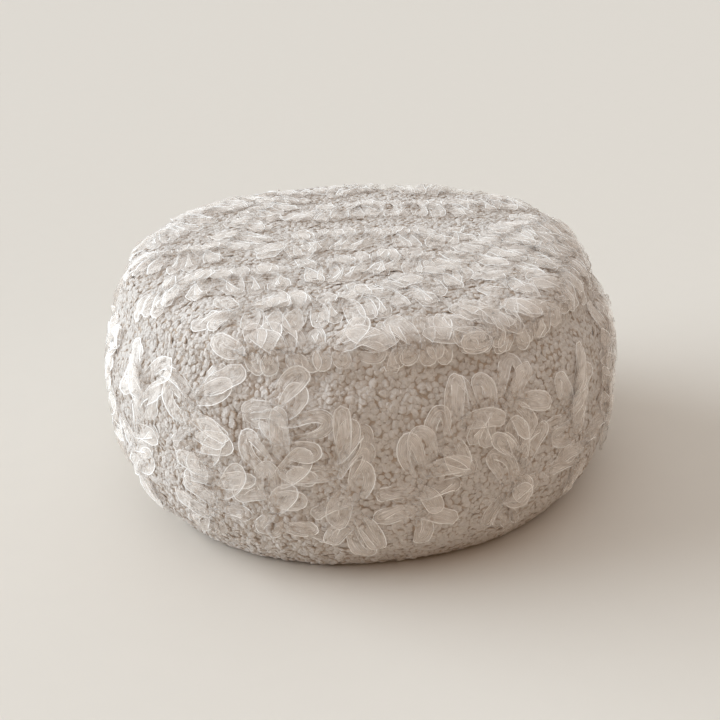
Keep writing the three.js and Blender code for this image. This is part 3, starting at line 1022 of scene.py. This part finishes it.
def make_light(scene, stage):
    """Soft light from a window on the left, from above and, warm and weak, from the front."""
    world = bpy.data.worlds.new("soft_room")
    world.use_nodes = True
    background = world.node_tree.nodes["Background"]
    background.inputs["Color"].default_value = rgba(SKY_COLOUR)
    background.inputs["Strength"].default_value = stage.sky
    scene.world = world
    for sun in SUNS:
        light = bpy.data.lights.new(sun["name"], "SUN")
        light.angle = math.radians(sun["spread"])
        light.energy = getattr(stage, sun["name"])
        light.color = sun["colour"]
        toward = Vector(sun["toward"])
        lamp = link(sun["name"], light)
        lamp.location = toward * 2
        lamp.rotation_euler = (-toward).to_track_quat("-Z", "Y").to_euler()
    scene.view_settings.view_transform = "Standard"


def filled_cushion():
    """The filled body, which has to be there before anything is sewn onto it."""
    skin = bpy.data.objects.get("filled_cushion")
    if skin is None:
        raise RuntimeError("make the filled cushion before its curls and ribbons")
    return skin


class CUSHION_OT_stage(bpy.types.Operator):
    """Makes the camera, the light and the pale floor"""

    bl_idname = "cushion.stage"
    bl_label = "Stage"

    def execute(self, context):
        stage = context.scene.cushion_stage
        make_camera(context.scene, stage)
        make_floor(stage)
        make_light(context.scene, stage)
        return {"FINISHED"}


class CUSHION_OT_filled_cushion(bpy.types.Operator):
    """Makes the filled body in its fleece skin"""

    bl_idname = "cushion.filled_cushion"
    bl_label = "Filled cushion"

    def execute(self, context):
        make_filled_cushion(context.scene.cushion_filling, context.scene.cushion_curls)
        return {"FINISHED"}


class CUSHION_OT_curls(bpy.types.Operator):
    """Stands the fleece's curls on the skin, panel by panel"""

    bl_idname = "cushion.curls"
    bl_label = "Fleece curls"

    def execute(self, context):
        curls = context.scene.cushion_curls
        skin = filled_cushion()
        noise.seed_set(LUMP_SEED)
        shapes = [curl_shape(number) for number in range(CURL_SHAPES)]
        collection = bpy.data.collections.new("curl_shapes")
        for shape in shapes:
            collection.objects.link(shape)
        material = curl_material(curls)
        panels = fleece_panels(context.scene.cushion_filling.parting)
        for number, (name, keep) in enumerate(panels):
            make_curls(name, skin, keep, curls, collection, material, CURL_SEED + number)
        for shape in shapes:
            bpy.data.objects.remove(shape)
        bpy.data.collections.remove(collection)
        return {"FINISHED"}


class CUSHION_OT_ribbons(bpy.types.Operator):
    """Sews the rows of gathered ribbon onto the skin"""

    bl_idname = "cushion.ribbons"
    bl_label = "Ribbon rows"

    def execute(self, context):
        ribbon = context.scene.cushion_ribbon
        tree = tree_of(filled_cushion().data)
        material = ribbon_material(ribbon)
        for number, row in enumerate(TOP_ROWS + SIDE_ROWS):
            make_ribbon(tree, row, number, ribbon, material)
        return {"FINISHED"}


class CUSHION_PT_panel(bpy.types.Panel):
    """Lists the cushion's sizes and the steps that make it"""

    bl_label = "Cushion"
    bl_idname = "CUSHION_PT_panel"
    bl_space_type = "VIEW_3D"
    bl_region_type = "UI"
    bl_category = "Cushion"

    def draw(self, context):
        scene = context.scene
        parts = (
            (scene.cushion_stage, "cushion.stage"),
            (scene.cushion_filling, "cushion.filled_cushion"),
            (scene.cushion_curls, "cushion.curls"),
            (scene.cushion_ribbon, "cushion.ribbons"),
        )
        for settings, operator in parts:
            box = self.layout.box()
            for name in settings.__annotations__:
                box.prop(settings, name)
            box.operator(operator)


SETTINGS = (
    ("cushion_stage", StageSettings),
    ("cushion_filling", FillingSettings),
    ("cushion_curls", CurlSettings),
    ("cushion_ribbon", RibbonSettings),
)
OPERATORS = (CUSHION_OT_stage, CUSHION_OT_filled_cushion, CUSHION_OT_curls, CUSHION_OT_ribbons)


def register():
    for name, group in SETTINGS:
        bpy.utils.register_class(group)
        setattr(bpy.types.Scene, name, PointerProperty(type=group))
    for operator in OPERATORS:
        bpy.utils.register_class(operator)
    bpy.utils.register_class(CUSHION_PT_panel)


def unregister():
    bpy.utils.unregister_class(CUSHION_PT_panel)
    for operator in reversed(OPERATORS):
        bpy.utils.unregister_class(operator)
    for name, group in reversed(SETTINGS):
        delattr(bpy.types.Scene, name)
        bpy.utils.unregister_class(group)


def main():
    register()
    bpy.ops.cushion.stage()
    bpy.ops.cushion.filled_cushion()
    bpy.ops.cushion.curls()
    bpy.ops.cushion.ribbons()


if __name__ == "__main__":
    main()
